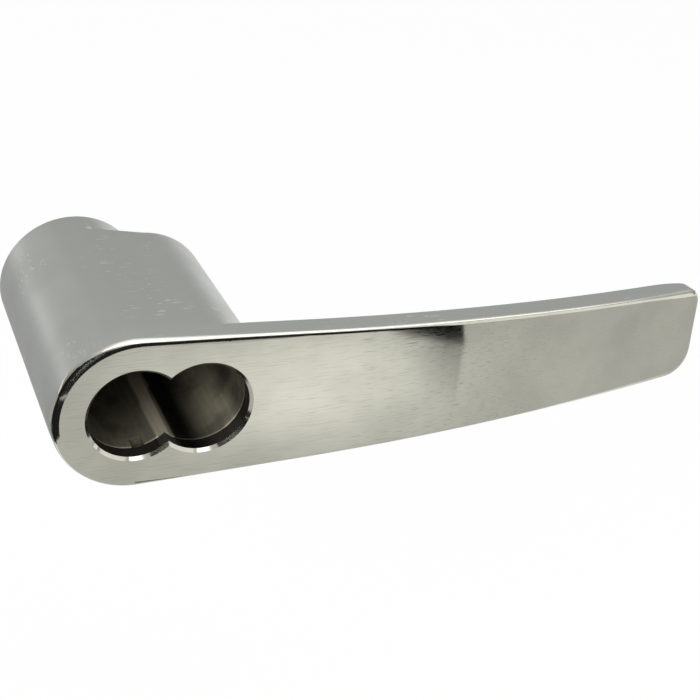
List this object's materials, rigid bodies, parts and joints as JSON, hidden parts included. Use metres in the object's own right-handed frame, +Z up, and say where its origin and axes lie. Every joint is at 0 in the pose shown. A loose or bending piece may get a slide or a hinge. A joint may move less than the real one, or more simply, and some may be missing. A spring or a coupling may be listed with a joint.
{
  "type": "door lever handle",
  "caption": "Satin nickel door lever: a bowed, tapering blade on a deep drafted hub with a figure-eight core socket, sprung on a bolted bearing with a keyed tailpiece on the same axis.",
  "frame": {"origin": "centre of the bearing sleeve's rear mounting face, on the turning axis", "axes": "+Y along the turning axis towards the lock, +X along the blade, +Z up; the front face looks along -Y"},
  "size_m": [0.1163, 0.0616, 0.0266],
  "materials": {
    "satin_nickel_brushed": "brushed along the blade",
    "satin_nickel": "satin, even",
    "dark_steel": "dark, oiled",
    "hardened_steel": "blackened",
    "zinc_plated_steel": "zinc plated",
    "spring_steel": "drawn wire",
    "acetal": "smooth",
    "washer_brass": "stamped"
  },
  "bodies": {
    "mount": {"bearing_sleeve": "zinc_plated_steel", "return_spring": "spring_steel"},
    "lever": {"lever_blade": "satin_nickel_brushed", "hub_body": "satin_nickel", "locating_dowels": "hardened_steel", "core_liner": "dark_steel", "liner_set_screw": "hardened_steel", "core_stop_plate": "dark_steel", "stop_plate_screws": "hardened_steel", "drive_tube": "zinc_plated_steel", "drive_pins": "hardened_steel", "turn_stop_pin": "hardened_steel", "neck_bush": "acetal", "thrust_washer": "acetal", "rear_washer": "washer_brass", "retaining_ring": "hardened_steel"},
    "throw": {"throw_plate": "zinc_plated_steel", "tailpiece": "zinc_plated_steel", "tail_washer": "washer_brass", "tail_clip": "hardened_steel"}
  },
  "joints": [
    {"name": "lever_turn", "type": "hinge", "parent": "mount", "child": "lever", "pos_m": [0, 0, 0], "axis": [0, 1, 0], "range_deg": [-45, 45], "stiffness_Nm_per_rad": 1.5, "springref_deg": -1.32, "deforming": ["return_spring"]},
    {"name": "throw_turn", "type": "hinge", "parent": "lever", "child": "throw", "pos_m": [0, 0, 0], "axis": [0, 1, 0], "range_deg": [-90, 90]}
  ]
}
